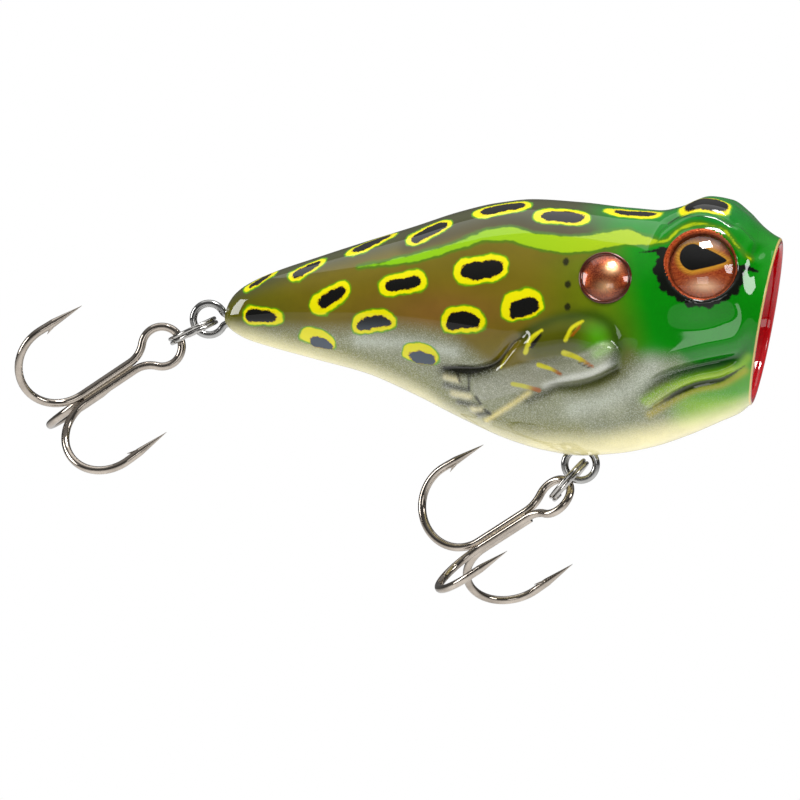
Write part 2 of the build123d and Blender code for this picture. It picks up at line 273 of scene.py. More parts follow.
# Place (s, h) and tilt; the ring's half length, half height, pinch and bend; the core's shift ahead and up,
# half length, half height and bend
SPOTS = [
    (4.4, 1.0, -3, 2.35, 1.25, 0.22, 0.0, -0.1, 0.0, 1.75, 0.78, 0.0),
    (10.5, -1.35, -14, 2.1, 1.15, 0.0, 0.25, 0.45, -0.5, 1.35, 0.62, 0.1),
    (11.9, 3.1, 31, 2.6, 1.35, 0.12, -0.1, 0.15, -0.1, 1.75, 0.72, 0.1),
    (16.7, 0.45, 14, 2.65, 1.35, 0.05, 0.35, -0.05, -0.05, 1.95, 0.62, 0.5),
    (19.9, 4.75, 8, 2.75, 1.45, 0.1, 0.05, 0.0, 0.0, 1.95, 0.74, -0.1),
    (21.7, -2.8, 0, 2.1, 1.2, 0.0, 0.2, 0.2, -0.45, 1.4, 0.7, 0.1),
    (26.5, 0.85, 4, 2.5, 1.5, 0.0, 0.25, 0.05, -0.1, 1.8, 0.85, 0.35),
    (28.4, 6.35, 5, 3.15, 1.75, 0.12, 0.0, 0.15, -0.05, 2.35, 1.05, -0.1),
    (33.0, 2.6, 12, 2.35, 1.65, 0.0, 0.2, 0.2, -0.3, 1.6, 0.95, 0.25),
    (3.9, 4.85, 22, 2.0, 0.7, 0.0, 0.0, 0.0, 0.0, 1.3, 0.35, 0.0),
    (9.1, 6.1, 25, 2.3, 1.0, 0.1, 0.0, 0.0, 0.0, 1.7, 0.58, 0.0),
    (16.0, 8.85, 20, 3.1, 1.2, 0.1, 0.0, 0.0, 0.1, 2.3, 0.75, 0.0),
    (22.4, 10.2, 20, 2.8, 1.3, 0.05, 0.1, 0.0, 0.0, 2.1, 0.85, 0.1),
    (30.2, 12.7, 8, 3.2, 1.5, 0.1, 0.0, 0.0, 0.1, 2.4, 0.95, 0.0),
    (36.8, 11.9, -4, 3.05, 1.5, 0.1, 0.1, 0.1, 0.0, 2.25, 0.95, 0.0),
    (44.4, 12.2, -3, 3.3, 1.1, 0.0, 0.0, 0.15, 0.05, 2.3, 0.6, 0.0),
    (52.2, 12.9, -5, 2.9, 1.6, 0.0, 0.1, 0.1, 0.15, 2.35, 1.2, 0.1),
]
STRIPE = [
    (14.8, 6.35), (20.9, 7.4), (23.8, 8.2), (26.4, 9.0), (29.1, 9.95), (31.3, 10.1), (33.3, 9.6),
    (35.2, 9.25), (38.0, 9.0), (40.6, 9.25), (43.7, 9.8), (46.3, 9.35), (48.1, 9.35), (49.6, 10.6),
    (51.8, 11.3), (54.4, 10.7), (56.0, 8.9), (57.4, 7.5),
]
# Half width of the stripe, by the share of the way along it
STRIPE_HALF = [
    (0, 0.12), (0.12, 0.36), (0.3, 0.55), (0.42, 0.78), (0.52, 0.88), (0.64, 0.84), (0.7, 0.5),
    (0.745, 0.2), (1.0, 0.13),
]
MOUTH_FOLD = [
    (58.0, 0.2), (57.2, -1.8), (56.0, -3.0), (51.5, -4.1), (48.3, -5.0), (46.1, -6.3), (45.0, -7.7),
    (44.3, -9.3),
]
LIP_LINE = [
    (56.8, -3.9), (55.4, -4.8), (54.1, -5.45), (51.8, -5.9), (49.8, -6.7), (48.0, -7.75), (46.5, -8.65),
]
LEG_CREASE = [
    (24.4, -4.3), (27.4, -4.5), (29.0, -4.25), (30.2, -3.65), (31.1, -2.6), (32.1, -1.4), (33.3, -0.7),
]
LEG_UNDER = [(43.0, -4.3), (41.0, -5.4), (38.8, -6.0), (36.8, -6.2), (35.2, -6.9), (33.4, -7.6)]
SHIN = [(42.0, -2.9), (39.5, -3.9), (37.0, -4.4), (34.0, -4.9), (31.5, -5.6), (28.8, -6.4)]
THIGH = [(34.8, -1.5), (38.5, -0.9), (40.9, -1.5)]
# Line of the painted shade round the thigh's swelling
THIGH_SHADE_EDGE = [
    (33.2, -0.8), (35.5, 0.5), (37.6, 1.15), (40.3, 1.35), (42.6, 0.2), (43.3, -1.8), (43.0, -3.8),
]
LEG_GROOVE = [(35.6, -3.3), (38.5, -3.0), (41.6, -2.2)]
FOOT_RIDGE = [(33.6, -6.9), (31.0, -8.6), (28.7, -10.0)]
TOES = [[(24.4, -6.1), (26.7, -6.7)], [(25.8, -8.0), (27.6, -8.4)], [(27.9, -9.35), (28.9, -9.2)]]
TOE_LIGHTS = [[(24.5, -5.3), (25.8, -5.6)], [(25.2, -7.1), (27.0, -7.4)], [(27.3, -8.8), (28.2, -8.9)]]
CLAWS = [
    [(25.8, -4.9), (26.1, -5.8)], [(27.1, -4.9), (27.0, -6.7)], [(27.7, -7.4), (28.2, -8.2)],
    [(28.6, -8.8), (29.2, -9.3)],
]
LID_FOLD = [(48.3, 11.2), (49.4, 11.85), (51.4, 12.1), (53.4, 11.9), (55.4, 11.0)]
EAR_DOTS = [(37.6, 7.2), (37.9, 4.8), (37.9, 2.4)]


def across(out):
    """Directions ahead and up, square to an outward direction."""
    ahead = np.array([1.0, 0, 0]) - out[0] * out
    ahead /= np.linalg.norm(ahead)
    up = np.cross(ahead, out)
    return ahead, up * np.sign(up[2])


def local(grid, centre, out, tilt=0.0):
    """Coordinates along the flank, up the flank and off it, about a place on the body (+Y side)."""
    ahead, up = across(out)
    d = grid - centre
    u, v, w = d @ ahead, d @ up, d @ out
    c, sn = math.cos(math.radians(tilt)), math.sin(math.radians(tilt))
    return u * c + v * sn, -u * sn + v * c, w


def flank_frame(s, h):
    """Point of the smooth body and its outward direction."""
    e = 0.05
    p = np.array([s, half_width_at(s, h), h])
    ds = np.array([e, (half_width_at(s + e, h) - half_width_at(s - e, h)) / 2, 0])
    dh = np.array([0, (half_width_at(s, h + e) - half_width_at(s, h - e)) / 2, e])
    n = np.cross(dh, ds)
    n = n / np.linalg.norm(n)
    return p, n * np.sign(n[1])


def run_out(place, blunt, power=1.0):
    """1 half way along a line, and nearly 0 at its two ends."""
    return np.sin(np.pi * np.clip(place, blunt, 1 - blunt)) ** power


FOLD_CURVE = softened(MOUTH_FOLD, 40)
LIP_CURVE = softened(LIP_LINE, 30)
CREASE_CURVE = softened(LEG_CREASE, 40)
TOE_WIDTH = 0.36
# Ridges on the flank: the line, how far above it, rise (below nought for a furrow) and width, and how the
# rise changes along the line
RIDGES = [
    (softened(LID_FOLD), 0.0, -0.3, 0.38, None),
    (FOLD_CURVE, 0.0, -0.75, 0.62,
     lambda place: smooth(place, 0.0, 0.25) * (1 - 0.85 * smooth(place, 0.5, 0.95))),
    (FOLD_CURVE, 1.9, 0.45, 1.6, None),
    (LIP_CURVE, 0.0, -0.5, 0.42, lambda place: run_out(place, 0.02, 0.4)),
    (LIP_CURVE, 1.1, 0.35, 0.8, None),
    (CREASE_CURVE, 0.0, -0.75, 0.45, lambda place: run_out(place, 0.03, 0.5)),
    (softened(LEG_UNDER, 40), 0.0, -0.4, 0.55, lambda place: 1 - 0.5 * place),
    (LEG_GROOVE, 0.0, -0.18, 0.4, None),
    (FOOT_RIDGE, 0.0, 0.22, TOE_WIDTH, None),
]
RIDGES += [(toe, 0.0, 0.28, TOE_WIDTH, None) for toe in TOE_LIGHTS]
RIDGES += [(toe, 0.0, 0.2, TOE_WIDTH, None) for toe in TOES]
LIP_FADE_ROWS = 12  # the relief dies away over this many rows before the lip
MOUND_RISE, MOUND_REACH = 0.75, 5.6
BROW_RISE, BROW_RADIUS, BROW_WIDTH = 0.45, 5.3, 0.75
LID_RISE, LID_TOP, LID_REACH = 0.55, (52.2, 4.3), (4.6, 3.2)
DIP_DEPTH, DIP_MIDDLE, DIP_LONG, DIP_HALF = 0.75, 52.5, 4.5, 1.9
SHIN_RISE, SHIN_RADIUS, SHIN_THINNING, SHIN_FALL = 0.7, 1.65, 0.35, 0.55
THIGH_RISE, THIGH_FLAT, THIGH_REACH = 0.95, 0.2, 3.0
NOSTRIL_RIM, NOSTRIL_DEPTH, NOSTRIL, NOSTRIL_REACH = 0.2, 0.32, (58.0, 8.0), (1.0, 0.8)
SEAT_DEPTH, SEAT_INSET, SEAT_SOFTNESS = 0.2, 0.3, 0.45


def sculpt(grid, normals):
    """Moves the smooth form along its normals: eye mounds, lids, folded legs, creases, nostrils."""
    s, y, h = grid[..., 0], grid[..., 1], grid[..., 2]
    side = smooth(y, 0.8, 3.0)
    # the mound that the eye stands on, and a ridge over the eye
    u, v, w = local(grid, EYE_CENTRE, EYE_OUT)
    r = np.hypot(u, v)
    near = smooth(w, -4.0, -1.0)
    move = MOUND_RISE * np.exp(-((r / MOUND_REACH) ** 4)) * near
    move += BROW_RISE * bell(r - BROW_RADIUS, BROW_WIDTH) * smooth(v, 0.5, 3.5) * near
    # the upper lid, and the dip between the two lids
    lid = np.hypot((s - LID_TOP[0]) / LID_REACH[0], (y - LID_TOP[1]) / LID_REACH[1])
    top = smooth(h, 10.5, 12.5)
    move += LID_RISE * np.exp(-(lid**2) * 1.4) * top
    move -= DIP_DEPTH * bell(s - DIP_MIDDLE, DIP_LONG) * bell(y, DIP_HALF) * top
    for line, above, rise, width, change in RIDGES:
        distance, place = line_distance(s, h - above, line)
        share = change(place) if change else 1.0
        move += rise * bell(distance, width) * share * side
    # the shin is a round bar that thins towards the foot, and the thigh a soft swelling
    shin, place = line_distance(s, h, softened(SHIN))
    bar = np.sqrt(np.clip(1 - (shin / (SHIN_RADIUS - SHIN_THINNING * place)) ** 2, 0, 1))
    move += SHIN_RISE * bar * (1 - SHIN_FALL * place) * side
    thigh, _ = line_distance(s, h, softened(THIGH))
    move += THIGH_RISE * (1 - smooth(thigh, THIGH_FLAT, THIGH_REACH)) * side
    nostril = np.hypot((s - NOSTRIL[0]) / NOSTRIL_REACH[0], (h - NOSTRIL[1]) / NOSTRIL_REACH[1])
    muzzle = smooth(y, 1.2, 2.6)
    move += NOSTRIL_RIM * np.exp(-((nostril - 1.2) ** 2) * 3) * muzzle
    move -= NOSTRIL_DEPTH * np.exp(-(nostril**2) * 1.6) * muzzle
    row = np.arange(grid.shape[0])[:, None]
    move *= 1 - smooth(row, ROWS_BODY - LIP_FADE_ROWS, ROWS_BODY - 1)
    # seats under the eye and ear discs, wide enough to hide inside them
    for centre, out, radius in ((EYE_CENTRE, EYE_OUT, EYE_RADIUS), (EAR_CENTRE, EAR_OUT, EAR_SEAT_RADIUS)):
        u, v, w = local(grid + normals * move[..., None], centre, out)
        edge = radius - SEAT_INSET
        inside = (1 - smooth(np.hypot(u, v), edge - SEAT_SOFTNESS, edge)) * (w > -3)
        move += inside * np.minimum(0, -SEAT_DEPTH - w)
    return grid + normals * move[..., None]


# ---------------------------------------------------------------- paint, as smooth fields on the form
def mixed(colour, other, weight):
    """Colour with another laid over it by weight, 0 to 1."""
    return colour + (np.array(other) - colour) * np.clip(weight, 0, 1)[..., None]


# Top edge of the silver pearl zone; where it rises on the cheek, near s 45 to 49, it is partly a painted
# reflection
SILVER_TOP = [
    (0, 0.0), (4, -0.1), (12, -0.1), (18, 0.4), (22, 0.2), (25.5, -0.8), (28, -2.6), (31, -4.6),
    (36, -6.2), (40.5, -6.2), (43, -4.6), (45.2, -2.6), (49.4, -2.6), (51.5, -4.0), (55, -6.3),
    (60, -8.0),
]
CREAM_TOP = [
    (0, -0.2), (6.8, -1.9), (13.8, -3.9), (21.0, -6.6), (25.7, -9.5), (32.8, -11.7), (38.6, -11.9),
    (48.4, -10.3), (54.2, -8.9), (57.5, -7.6),
]
BACK_EDGE = [
    (0, 2.6), (5, 4.8), (10, 6.4), (15, 7.7), (20, 9.1), (25, 10.6), (30, 11.6), (35, 10.8), (40, 10.5),
    (50, 12.0),
]
# Bumps of the dark band round the eye: angle on the disc and reach from its centre
LASHES = [
    (161, 5.2), (176, 5.0), (187, 5.35), (199, 5.1), (211, 5.25), (223, 4.9), (238, 4.75), (254, 4.85),
    (267, 4.6), (281, 4.8), (295, 4.6), (308, 4.75), (323, 4.95), (336, 4.8), (350, 4.6),
]
LASH_BAND, LASH_BUMP = 4.55, 0.62
BAND_START, BAND_END, BAND_TAPER = 158, 352, 0.05


def airbrush(s, y, h):
    """Soft base colours of the coat, with painted highlights and painted shade laid in, and how much pearl
    flake it has.
    """

    def wash(colour, other, line, width, weight, rise=0.0):
        distance, _ = line_distance(s, h - rise, softened(line, 40))
        return mixed(colour, other, weight * bell(distance, width))

    colour = np.zeros(s.shape + (3,)) + rgb(104, 92, 14)
    colour = mixed(colour, rgb(122, 84, 36), 0.75 * bell(s - 24, 8) * bell(h - 1.8, 2.6))
    colour = mixed(colour, rgb(88, 86, 12), 1 - smooth(s, 2, 12))
    colour = mixed(colour, rgb(92, 104, 4), smooth(s, 33, 40) * (1 - smooth(h, 7, 9)))
    colour = mixed(colour, rgb(64, 66, 40), smooth(h - through(BACK_EDGE, s), -1.6, 0.6))
    head = smooth(s + 0.25 * (h - 4), 40.0, 46.5)
    colour = mixed(colour, rgb(0, 122, 2), head)
    colour = mixed(colour, rgb(18, 116, 40), head * smooth(h, 9.5, 12.5) * 0.8)
    # painted shade: a soft dark band above the stripe
    shade_over_stripe = [(20, 8.6), (26, 10.2), (31, 11.3), (35, 10.2), (40, 9.9)]
    colour = wash(colour, rgb(40, 34, 8), shade_over_stripe, 0.9, 0.6)
    thigh = line_distance(s, h, softened(THIGH))[0]
    colour = mixed(colour, rgb(70, 74, 2), 0.9 * (1 - smooth(thigh, 0.8, 2.8)))
    colour = mixed(colour, rgb(70, 146, 6), 0.9 * bell(s - 41.4, 1.7) * bell(h + 0.9, 2.2))
    silver = 1 - smooth(h - through(SILVER_TOP, s), -1.6, 1.0)
    colour = mixed(colour, rgb(124, 128, 98), silver * 0.94)
    behind_thigh = [(39.0, -6.4), (41.6, -5.6), (43.4, -4.4), (44.4, -2.8)]
    colour = wash(colour, rgb(92, 94, 24), behind_thigh, 1.0, 0.8)
    # painted highlight: a pale streak along the silver on the rear half of the flank
    colour = wash(colour, rgb(186, 192, 180), [(15.0, -1.5), (20.0, -1.7), (25.5, -2.6)], 0.8, 0.6)
    # painted highlight: a pale wash over the silver of the lower cheek and belly
    belly_painted_highlight = [(47.0, -4.0), (45.0, -6.0), (42.0, -7.6), (38.5, -8.6)]
    colour = wash(colour, rgb(190, 196, 182), belly_painted_highlight, 1.3, 0.55)
    cream_edge = [(7, -1.2), (14, -3.0), (21, -5.4), (26, -8.4), (33, -10.6), (39, -10.9)]
    colour = wash(colour, rgb(112, 112, 44), cream_edge, 0.8, 0.6)
    cream = 1 - smooth(h - through(CREAM_TOP, s), -1.7, 1.5)
    chin = smooth(s, 47.5, 51.5) * smooth(-(h + 3.2), 0, 1.6)
    colour = mixed(colour, rgb(66, 146, 6), chin * 0.96)
    colour = mixed(colour, rgb(150, 184, 40), chin * smooth(-(h + 6.6), 0, 1.8) * 0.6)
    colour = mixed(colour, rgb(240, 230, 172), cream)
    shin, place = line_distance(s, h, softened(SHIN))
    leg = 1 - smooth(shin, 1.1, 1.9 - 0.3 * place)
    colour = mixed(colour, rgb(136, 138, 118), leg * 0.85)
    # painted highlight: a pale line along the shin's lower edge
    rim = [(42.6, -3.6), (40.4, -4.7), (37.4, -5.4), (35.4, -6.2)]
    colour = wash(colour, rgb(206, 208, 198), rim, 0.4, 0.75)
    # painted shade: a dark green line round the thigh's swelling
    colour = wash(colour, rgb(26, 52, 2), THIGH_SHADE_EDGE, 0.7, 0.7, 0.2)
    # painted shadow under the shin
    colour = wash(colour, rgb(44, 50, 14), LEG_UNDER, 0.5, 0.75)
    # painted shadow in the leg's crease
    colour = wash(colour, rgb(24, 24, 14), LEG_CREASE[:4], 0.7, 0.8, -0.2)
    colour = wash(colour, rgb(228, 210, 130), FOOT_RIDGE, 0.3, 0.7)
    colour = wash(colour, rgb(150, 190, 110), [(41.2, -2.5), (42.2, -2.0)], 0.6, 0.7)
    for light, toe in zip(TOE_LIGHTS, TOES):
        colour = wash(colour, rgb(222, 212, 168), light, 0.34, 0.8)
        colour = wash(colour, rgb(52, 54, 48), toe, 0.36, 0.85)
    # painted shade: dark green in the mouth fold, fading out towards its two ends
    fold, place = line_distance(s, h, FOLD_CURVE)
    deep = smooth(place, 0.02, 0.3) * (1 - 0.85 * smooth(place, 0.5, 0.9))
    colour = mixed(colour, rgb(0, 54, 4), 0.9 * bell(fold, 0.55) * deep)
    colour = wash(colour, rgb(132, 178, 14), MOUTH_FOLD[1:6], 0.5, 0.75, -1.25)
    colour = wash(colour, rgb(176, 160, 24), LIP_LINE, 0.42, 0.65, -0.55)
    colour = wash(colour, rgb(150, 176, 10), LIP_LINE[1:], 0.4, 0.6, 0.6)
    flake = np.maximum(silver * (1 - 0.75 * cream) * (1 - 0.7 * chin), leg * 0.7)
    return colour, flake


YELLOW, PALE, BROWN, BLACK = rgb(192, 186, 18), rgb(176, 172, 60), rgb(140, 74, 2), rgb(20, 18, 8)
# Small marks on the folded leg, and one under the mouth: route, then half width and colour at the route's
# start and end
MARKS = [
    ([(33.4, -2.5), (34.1, -0.9), (35.2, -0.1)], 0.30, 0.16, YELLOW, YELLOW),
    ([(34.1, -1.8), (35.0, -0.6)], 0.26, 0.22, BLACK, BLACK),
    ([(37.8, -1.1), (38.5, 0.2), (39.6, 0.9)], 0.26, 0.14, YELLOW, YELLOW),
    ([(38.5, -0.6), (39.3, 0.3)], 0.16, 0.14, BROWN, BROWN),
    ([(37.6, -2.5), (39.2, -3.05), (40.7, -3.95)], 0.30, 0.16, YELLOW, BROWN),
    ([(39.2, -3.6), (40.3, -4.1)], 0.06, 0.10, BLACK, BLACK),
    ([(34.8, -3.8), (36.2, -4.25), (37.2, -4.8)], 0.26, 0.14, YELLOW, BROWN),
    ([(31.9, -5.9), (33.4, -6.2), (34.7, -6.6)], 0.2, 0.26, PALE, BROWN),
    ([(30.6, -4.2), (31.3, -2.8)], 0.1, 0.06, YELLOW, PALE),
    ([(46.9, -8.4), (48.8, -7.2)], 0.12, 0.05, YELLOW, YELLOW),
]


def mark_fields(s, h):
    """Signed distance to the nearest small mark, and that mark's colour."""
    best = np.full(s.shape, FAR)
    colour = np.zeros(s.shape + (3,)) + YELLOW
    for route, half_start, half_end, first, last in MARKS:
        distance, place = line_distance(s, h, softened(route, 16))
        distance = distance - half_start - (half_end - half_start) * place
        near = distance < best
        best = np.where(near, distance, best)
        tone = first + (last - first) * smooth(place, 0.45, 0.9)[..., None]
        colour = np.where(near[..., None], tone, colour)
    return best, colour


def lash_distance(grid):
    """Signed distance to the dark band round the eye's rear and lower edge and its two end streaks."""
    u, v, w = local(grid, EYE_CENTRE, EYE_OUT)
    r, angle = np.hypot(u, v), np.degrees(np.arctan2(v, u)) % 360
    off_band = np.clip(np.maximum(BAND_START - angle, angle - BAND_END), 0, 90)
    lash = r - LASH_BAND + off_band * BAND_TAPER
    for at, reach in LASHES:
        a, centre = math.radians(at), reach - LASH_BUMP
        lash = np.minimum(lash, np.hypot(u - centre * math.cos(a), v - centre * math.sin(a)) - LASH_BUMP)
    ahead, place = line_distance(u, v, [(4.4, -0.1), (5.9, -0.25)])
    lash = np.minimum(lash, ahead - 0.36 + 0.2 * place)
    behind, place = line_distance(u, v, [(-4.4, 1.7), (-6.9, 1.6)])
    lash = np.minimum(lash, behind - 0.22 + 0.18 * place)
    return np.where(w > -4.5, lash, FAR)


SPOT_NEAR = 3.0  # a spot reaches no further off its own plane than this
# Half widths of the dark lines; the crease's line is painted shadow, swelling near its start
LIP_DARK, CREASE_SHADOW, CREASE_SHADOW_SWELL, CLAW_DARK, DOT_DARK, LID_DARK = 0.3, 0.06, 0.34, 0.12, 0.36, 0.05


def paint(grid):
    """Colours, signed distances in millimetres to painted edges, and weights, on the half form.

    The field named mouth counts the grid's rows past the lip's outer edge.
    """
    s, y, h = grid[..., 0], grid[..., 1], grid[..., 2]
    row = np.broadcast_to(np.arange(grid.shape[0])[:, None], s.shape)
    outer = row < ROWS_BODY + 2
    side = outer & (y > 1.0)
    colour, flake = airbrush(s, y, h)
    ring, core = np.full(s.shape, FAR), np.full(s.shape, FAR)
    for a, b, tilt, long, high, pinch, bend, core_s, core_h, core_long, core_high, core_bend in SPOTS:
        place, out = flank_frame(a, b)
        u, v, w = local(grid, place, out, tilt)
        near = (np.abs(w) < SPOT_NEAR) & outer
        ring = np.where(near, np.minimum(ring, spot_distance(u, v, long, high, pinch, bend)), ring)
        inner = spot_distance(u - core_s, v - core_h, core_long, core_high, pinch, core_bend)
        core = np.where(near, np.minimum(core, inner), core)
    line, place = line_distance(s, h, softened(STRIPE, 60))
    stripe = line - through(STRIPE_HALF, place)
    lip, place = line_distance(s, h, LIP_CURVE)
    dark = lip - LIP_DARK * run_out(place, 0.03)
    # painted shadow along the leg's crease
    crease, place = line_distance(s, h, CREASE_CURVE)
    dark = np.minimum(dark, crease - CREASE_SHADOW - CREASE_SHADOW_SWELL * bell(place - 0.22, 0.2))
    for claw in CLAWS:
        dark = np.minimum(dark, line_distance(s, h, claw)[0] - CLAW_DARK)
    for a, b in EAR_DOTS:
        dark = np.minimum(dark, np.hypot((s - a) / 0.9, (h - b) / 1.1) - DOT_DARK)
    dark = np.minimum(dark, line_distance(s, h, softened(LID_FOLD))[0] - LID_DARK)
    mark, mark_colour = mark_fields(s, h)
    fields = {
        "ring": ring,
        "core": core,
        "stripe": np.where(side, stripe, FAR),
        "along": np.clip((s - 14) / 40, 0, 1),
        "lash": np.where(outer, lash_distance(grid), FAR),
        "dark": np.where(side, dark, FAR),
        "mark": np.where(side, mark, FAR),
        "flake": np.where(outer, flake, 0),
        "mouth": row - (ROWS_BODY + ROWS_LIP * 0.3),
        "low": smooth(-h, -1.0, 9.0),
    }
    return {"coat": colour, "mark_colour": mark_colour}, fields


SHELL_WELD, DISC_WELD = 1e-7, 1e-8  # metres
CAP_SIDES = 5  # a face with this many sides or more is a flat cap


def close_up(obj, weld):
    """Welds points nearer to each other than the weld distance, closes open edges, turns faces outwards."""
    bm = bmesh.new()
    bm.from_mesh(obj.data)
    bmesh.ops.remove_doubles(bm, verts=bm.verts, dist=weld)
    bmesh.ops.holes_fill(bm, edges=[e for e in bm.edges if e.is_boundary], sides=0)
    bmesh.ops.recalc_face_normals(bm, faces=bm.faces)
    for face in bm.faces:
        face.smooth = len(face.verts) < CAP_SIDES
    bm.to_mesh(obj.data)
    bm.free()


def half_shell(name, turn):
    """One painted half: sculpted skin, lip and cup, closed along the parting plane."""
    grid = half_form()
    grid = sculpt(grid, grid_normals(grid))
    grid[:, [0, -1], 1] = 0
    colours, fields = paint(grid)
    rows, columns, _ = grid.shape
    index = np.arange(rows * columns).reshape(rows, columns)
    quads = np.stack([index[:-1, :-1], index[1:, :-1], index[1:, 1:], index[:-1, 1:]], -1).reshape(-1, 4)
    tail_cap = index[0, ::-1].tolist()
    obj = make_object(name, to_metres(grid, turn), quads.tolist() + [tail_cap], fields, colours)
    close_up(obj, SHELL_WELD)
    return obj


# ---------------------------------------------------------------- materials
# Fineness of the patterns in the coat, in features a metre
CLOUDS, SWELLS, RIPPLES, RAGS, GRAINS, GLINTS = 260.0, 420.0, 1300.0, 3400.0, 9500.0, 12500.0
COPPER_CLOUDS, COPPER_SPECKS, COPPER_BUMPS, METAL_CLOUDS = 900.0, 9000.0, 5200.0, 320.0
FILM_IOR = 1.5


class Nodes:
    """Short way to write a material; a value is a number, a colour or another node's output."""

    def __init__(self, name):
        self.material = bpy.data.materials.new(name)
        self.material.use_nodes = True
        self.tree = self.material.node_tree
        self.shader = self.tree.nodes["Principled BSDF"]

    def put(self, socket, value):
        """Links or sets a socket."""
        if isinstance(value, bpy.types.NodeSocket):
            self.tree.links.new(value, socket)
        elif isinstance(value, (list, tuple, np.ndarray)) and socket.type == "RGBA":
            socket.default_value = (*[float(c) for c in value[:3]], 1.0)
        else:
            socket.default_value = value

    def node(self, kind, output=0, settings=(), **inputs):
        """Adds a node and returns one output; an underscore in an input's name stands for a space."""
        n = self.tree.nodes.new(kind)
        for key, value in dict(settings).items():
            setattr(n, key, value)
        for key, value in inputs.items():
            self.put(n.inputs[key.replace("_", " ")], value)
        return n.outputs[output]

    def attribute(self, name, output="Fac"):
        """A field or a colour that the mesh carries."""
        return self.node("ShaderNodeAttribute", output, {"attribute_name": name})

    def math(self, operation, a, b=0.0, clamp=False):
        """Result of a sum on two values."""
        n = self.tree.nodes.new("ShaderNodeMath")
        n.operation = operation
        n.use_clamp = clamp
        self.put(n.inputs[0], a)
        self.put(n.inputs[1], b)
        return n.outputs[0]

    def plus(self, value, extra, share):
        """A value with a share of another added."""
        return self.math("ADD", value, self.math("MULTIPLY", extra, share))

    def below(self, field, edge, soft=0.08):
        """1 where the field is under the edge, with a soft step."""
        return self.node(
            "ShaderNodeMapRange", "Result", {"interpolation_type": "SMOOTHSTEP"},
            Value=field, From_Min=edge - soft, From_Max=edge + soft, To_Min=1.0, To_Max=0.0,
        )

    def mix(self, factor, a, b, blend="MIX"):
        """From colour a to colour b by the factor."""
        settings = {"data_type": "RGBA", "blend_type": blend}
        return self.node("ShaderNodeMix", "Result", settings, Factor=factor, A=a, B=b)

    def lay(self, colour, other, mask, weight):
        """A colour with another laid over it where the mask is 1, by weight."""
        return self.mix(self.math("MULTIPLY", mask, weight), colour, other)

    def noise(self, scale, detail=3.0, rough=0.5):
        """Cloudy level, about 0.5 on average."""
        where = self.node("ShaderNodeTexCoord", "Object")
        return self.node("ShaderNodeTexNoise", Vector=where, Scale=scale, Detail=detail, Roughness=rough)

    def waver(self, scale, amount, rough=0.5):
        """Noise about nought."""
        return self.math("MULTIPLY", self.math("SUBTRACT", self.noise(scale, 2.0, rough), 0.5), amount)

    def specks(self, scale, output="Red"):
        """A random level in each cell of a fine pattern."""
        where = self.node("ShaderNodeTexCoord", "Object")
        cells = self.node("ShaderNodeTexVoronoi", "Color", Vector=where, Scale=scale)
        return self.node("ShaderNodeSeparateColor", output, Color=cells)

    def bump(self, height, strength, distance):
        """Normal tilted by a height; distance is in metres."""
        return self.node("ShaderNodeBump", Height=height, Strength=strength, Distance=distance)

    def finish(self, **inputs):
        """Sets the shader's own inputs and returns the material."""
        for key, value in inputs.items():
            self.put(self.shader.inputs[key.replace("_", " ")], value)
        return self.material


